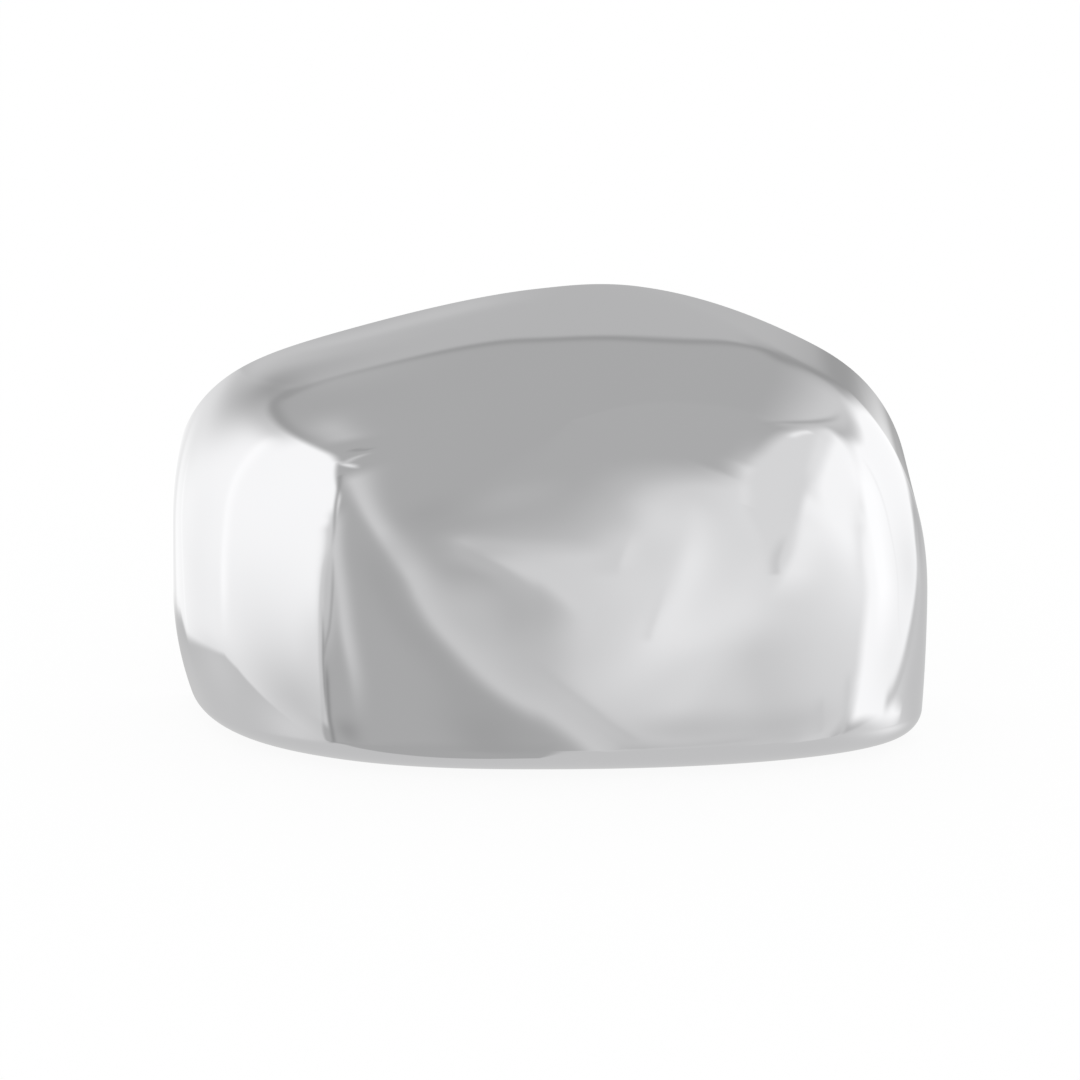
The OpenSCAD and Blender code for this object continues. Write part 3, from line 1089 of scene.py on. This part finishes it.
def paint_seam(cloth):
    """The seam between left wall and drape: soft hem, lit fold, then the dark stitch lines."""
    cloth.fold([
        (-55, 41), (-49, 32), (-45.6, 22), (-44.3, 10), (-44.2, -2), (-45.6, -14), (-48, -25),
    ], 3, 3, 196, 0.85, (0.1, 0.4))
    cloth.fold([
        (-49, 12), (-49, -4), (-50.5, -17), (-53.5, -29), (-58.5, -40), (-65, -48.5),
    ], 3, 6, 206, 0.4, (0.4, 0.1))
    cloth.fold([
        (-64.5, 51), (-57.5, 44.5), (-52, 37), (-48.5, 29), (-47, 20), (-46.6, 10), (-46.6, -2),
        (-48, -18), (-51.5, -32), (-57.5, -43), (-64.5, -50.5),
    ], 1.0, 1.4, 209, 0.7, (0.2, 0.05))
    cloth.fold([
        (-62, 47), (-54, 40.5), (-48.5, 32), (-44.2, 23), (-41.3, 14), (-39.5, 4), (-38.6, -6),
        (-38, -16), (-38.2, -26), (-40, -35), (-43.5, -43.5), (-49, -51),
    ], 3.2, 2.0, 202, 0.85, (0.1, 0.45))
    cloth.fold([
        (-84, 58.6), (-74, 55.6), (-65.2, 51), (-57, 44.2), (-51, 36.6), (-47.5, 29), (-45, 20),
    ], 0.7, 0.6, 150, 0.85, (0.05, 0.6))
    cloth.fold([
        (-46, 26), (-43.6, 17), (-42.9, 6), (-43.8, -6), (-46.2, -15), (-48, -23),
    ], 0.5, 0.6, 160, 0.75, (0.4, 0.2))
    cloth.fold([
        (-46.4, 4), (-46.2, -4), (-46.6, -12), (-48, -21), (-50.3, -30), (-54, -38.5), (-59.5, -46),
    ], 0.5, 0.5, 152, 0.85, (0.4, 0.3))
    cloth.fold([
        (-46.4, -18), (-48.8, -29), (-52.8, -38.5), (-58, -46), (-63.5, -51.8), (-72, -57), (-88, -62),
    ], 0.9, 0.8, 145, 0.95, (0.2, 0.3))
    # Gathered corner above the left wall
    cloth.fold([(-108, 62), (-104.5, 63.5), (-102.5, 66)], 1.2, 1.2, 152, 0.8, (0.3, 0.2))
    cloth.fold([(-93, 60.5), (-96.5, 62.5), (-99.5, 66)], 1.2, 1.4, 196, 0.9, (0.05, 0.4))


TENT_PARTS = (
    paint_left_wall, paint_floor, paint_back_wall, paint_front_drape, paint_lit_cloth, paint_hangings,
    paint_upper_step, paint_right_wall, paint_swag, paint_seam,
)


def tent_painted_light():
    """The studio tent's painted light: walls, floor and folded cloth, as shades from 0 to 255."""
    cloth = PaintedTentLight(shade=168)
    for paint in TENT_PARTS:
        paint(cloth)
    return cloth


def linear_light(shade):
    """The light that a picture shows as a shade from 0 to 255."""
    shown = np.clip(shade, 0, 255) / 255
    return ((shown + 0.055) / 1.055) ** 2.4


def make_tent():
    """A wide tent that only polished surfaces see, with its light painted by direction."""
    cloth = tent_painted_light()
    rings, segments = (n - 1 for n in cloth.light.shape)
    deselect()
    bpy.ops.mesh.primitive_grid_add(x_subdivisions=segments, y_subdivisions=rings, size=1)
    tent = added("light_tent")
    co = get_points(tent.data)
    column = np.rint((co[:, 0] + 0.5) * segments).astype(int)
    row = np.rint((co[:, 1] + 0.5) * rings).astype(int)
    turn, up = np.radians(cloth.turn[column]), np.radians(cloth.up[row])
    flat = TENT_RADIUS * np.cos(up)
    set_points(
        tent.data,
        np.stack([flat * np.sin(turn), -flat * np.cos(turn), TENT_RADIUS * np.sin(up)], 1),
    )
    # Painted light: the tent glows by its shades, and the plating shows them as painted reflections
    light = linear_light(cloth.light[row, column]) / bpy.context.scene.cover_finish.bright[0]
    attribute = tent.data.attributes.new("tent_light", "FLOAT", "POINT")
    attribute.data.foreach_set("value", light.astype(np.float32))
    material, tree = new_material("tent_painted_light")
    read = node(tree, "ShaderNodeAttribute", attribute_name="tent_light")
    glow = node(tree, "ShaderNodeEmission")
    end = node(tree, "ShaderNodeOutputMaterial")
    tree.links.new(read.outputs["Fac"], glow.inputs["Strength"])
    tree.links.new(glow.outputs["Emission"], end.inputs["Surface"])
    material.cycles.emission_sampling = "NONE"
    tent.data.materials.append(material)
    tent.visible_camera = False
    tent.visible_diffuse = False
    tent.visible_shadow = False
    tent.visible_transmission = False
    tent.visible_volume_scatter = False


def make_world():
    """Even white light from all sides."""
    world = bpy.data.worlds.new("studio")
    bpy.context.scene.world = world
    world.use_nodes = True
    background = world.node_tree.nodes["Background"]
    background.inputs["Color"].default_value = (1, 1, 1, 1)
    background.inputs["Strength"].default_value = 1.0


def make_camera():
    """Stands the camera as in the photograph: straight ahead, looking down a little."""
    distance, elevation = 1.1, math.radians(14.5)
    middle, aside, below = 71.5 * MM, 0.8 * MM, 3.6 * MM
    aim = Vector((-aside, 0, middle - below))
    back = Vector((0, -math.cos(elevation), math.sin(elevation)))
    place = Vector((0, 0, middle)) + distance * back
    bpy.ops.object.camera_add(location=place)
    camera = bpy.context.object
    camera.name = "camera"
    camera.rotation_euler = (aim - place).to_track_quat("-Z", "Y").to_euler()
    camera.data.sensor_width = 36
    camera.data.lens = 112.95
    bpy.context.scene.camera = camera
    camera.select_set(False)


class MIRROR_PT_panel(bpy.types.Panel):
    """Lists the steps that model the cover"""

    bl_idname = "MIRROR_PT_panel"
    bl_label = "Mirror cover"
    bl_space_type = "VIEW_3D"
    bl_region_type = "UI"
    bl_category = "Mirror cover"

    def draw(self, context):
        for operator in OPERATORS:
            self.layout.operator(operator.bl_idname)


GROUPS = {"cover_skin": CoverSkin, "cover_mould": CoverMould, "cover_finish": CoverFinish}
OPERATORS = (MIRROR_OT_stage, MIRROR_OT_shell, MIRROR_OT_hooks, MIRROR_OT_ribs)


def register():
    for group in GROUPS.values():
        bpy.utils.register_class(group)
    for name, group in GROUPS.items():
        setattr(bpy.types.Scene, name, bpy.props.PointerProperty(type=group))
    for operator in OPERATORS:
        bpy.utils.register_class(operator)
    bpy.utils.register_class(MIRROR_PT_panel)


def unregister():
    bpy.utils.unregister_class(MIRROR_PT_panel)
    for operator in reversed(OPERATORS):
        bpy.utils.unregister_class(operator)
    for name, group in GROUPS.items():
        delattr(bpy.types.Scene, name)
        bpy.utils.unregister_class(group)


def main():
    register()
    bpy.ops.mirror.stage()
    bpy.ops.mirror.shell()
    bpy.ops.mirror.hooks()
    bpy.ops.mirror.ribs()


if __name__ == "__main__":
    main()
